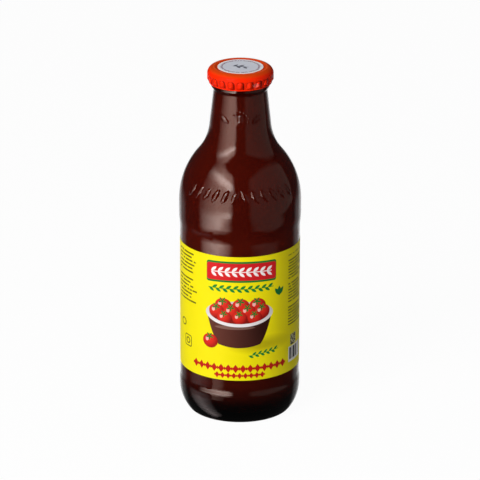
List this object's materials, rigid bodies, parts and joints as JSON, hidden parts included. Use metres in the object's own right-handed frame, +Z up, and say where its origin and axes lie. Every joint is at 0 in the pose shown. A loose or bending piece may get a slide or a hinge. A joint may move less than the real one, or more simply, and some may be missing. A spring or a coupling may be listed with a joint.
{
  "type": "passata bottle",
  "caption": "Round brown glass bottle of sieved tomato with a tapered neck, a crimped red metal cap and a yellow paper wrap label.",
  "frame": {"origin": "centre of the bottle's outline at the plane its foot ring stands on", "axes": "+Z up along the bottle's axis, -Y towards the front of the label, +X to the right seen from the front"},
  "size_m": [0.0784, 0.0784, 0.2311],
  "materials": {
    "bottle_glass": "smooth moulded brown glass",
    "passata": "wet tomato, drawn as an opaque glossy solid",
    "cap": "glossy red-orange lacquer",
    "cap_sticker": "coated white paper",
    "body_label": "printed yellow paper with a soft shine"
  },
  "bodies": {
    "root": {"bottle_glass": "bottle_glass", "passata": "passata", "cap": "cap", "cap_sticker": "cap_sticker", "body_label": "body_label"}
  },
  "joints": []
}
